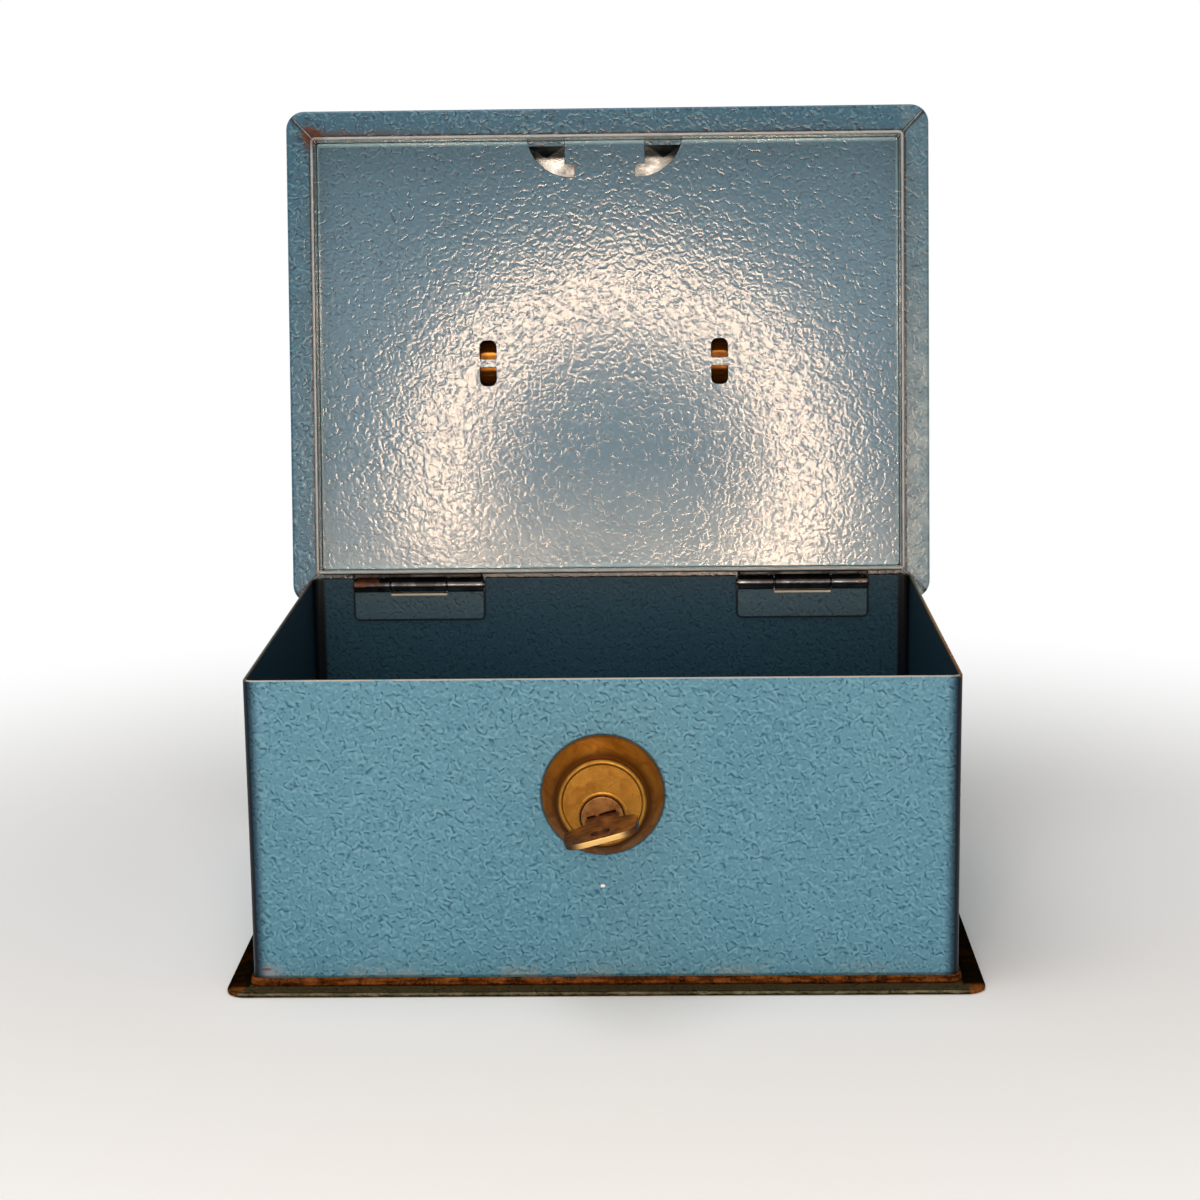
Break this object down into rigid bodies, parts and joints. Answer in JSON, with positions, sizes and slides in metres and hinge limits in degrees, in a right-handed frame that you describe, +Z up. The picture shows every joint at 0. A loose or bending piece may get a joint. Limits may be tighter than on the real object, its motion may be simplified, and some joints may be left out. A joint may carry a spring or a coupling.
{
  "type": "cash box",
  "caption": "Small painted steel cash box with a hinged crowned lid, fold-down handle, hook-cam cylinder lock and key.",
  "frame": {"origin": "centre of the base plate's underside, on the surface that the box stands on", "axes": "+Z up, -Y towards the front wall with the lock, +X to the right seen from the front"},
  "size_m": [0.2142, 0.218, 0.2432],
  "materials": {
    "body_paint": "teal-blue hammertone enamel, rust at edges",
    "panel_paint": "grey-blue hammertone enamel",
    "hinge_steel": "dark glossy steel with rust",
    "saddle_lacquer": "amber lacquered pressed sheet",
    "plated_steel": "bright plated steel",
    "rosette_brass": "tarnished spun brass",
    "lock_brass": "worn brass",
    "key_metal": "tarnished nickelled brass"
  },
  "bodies": {
    "root": {"base_plate": "body_paint", "box_body": "body_paint", "lock_rosette": "rosette_brass", "lock_barrel": "lock_brass", "lock_washer": "plated_steel", "lock_nut": "lock_brass", "left_hinge_box_leaf": "hinge_steel", "right_hinge_box_leaf": "hinge_steel", "left_hinge_pin": "hinge_steel", "right_hinge_pin": "hinge_steel"},
    "lid": {"lid_shell": "body_paint", "lid_liner": "panel_paint", "left_hinge_lid_leaf": "hinge_steel", "right_hinge_lid_leaf": "hinge_steel", "left_handle_saddle": "saddle_lacquer", "right_handle_saddle": "saddle_lacquer", "left_saddle_front_rivet": "plated_steel", "left_saddle_rear_rivet": "plated_steel", "right_saddle_front_rivet": "plated_steel", "right_saddle_rear_rivet": "plated_steel"},
    "handle": {"handle_bail": "plated_steel"},
    "lock_core": {"lock_plug": "lock_brass", "lock_cam": "plated_steel", "cam_nut": "plated_steel"},
    "key": {"key": "key_metal"}
  },
  "joints": [
    {"name": "lid_hinge", "type": "hinge", "parent": "root", "child": "lid", "pos_m": [0, 0.0745, 0.0878], "axis": [1, 0, 0], "range_deg": [0, 98.3]},
    {"name": "handle_swing", "type": "hinge", "parent": "lid", "child": "handle", "pos_m": [0, 0.10285, 0.15804], "axis": [1, 0, 0], "range_deg": [-8, 172]},
    {"name": "lock_turn", "type": "hinge", "parent": "root", "child": "lock_core", "pos_m": [0, -0.0765, 0.0525], "axis": [0, 1, 0], "range_deg": [-75, 0]},
    {"name": "key_slide", "type": "slide", "parent": "lock_core", "child": "key", "axis": [0, -1, 0], "range_m": [0, 0.018]}
  ]
}
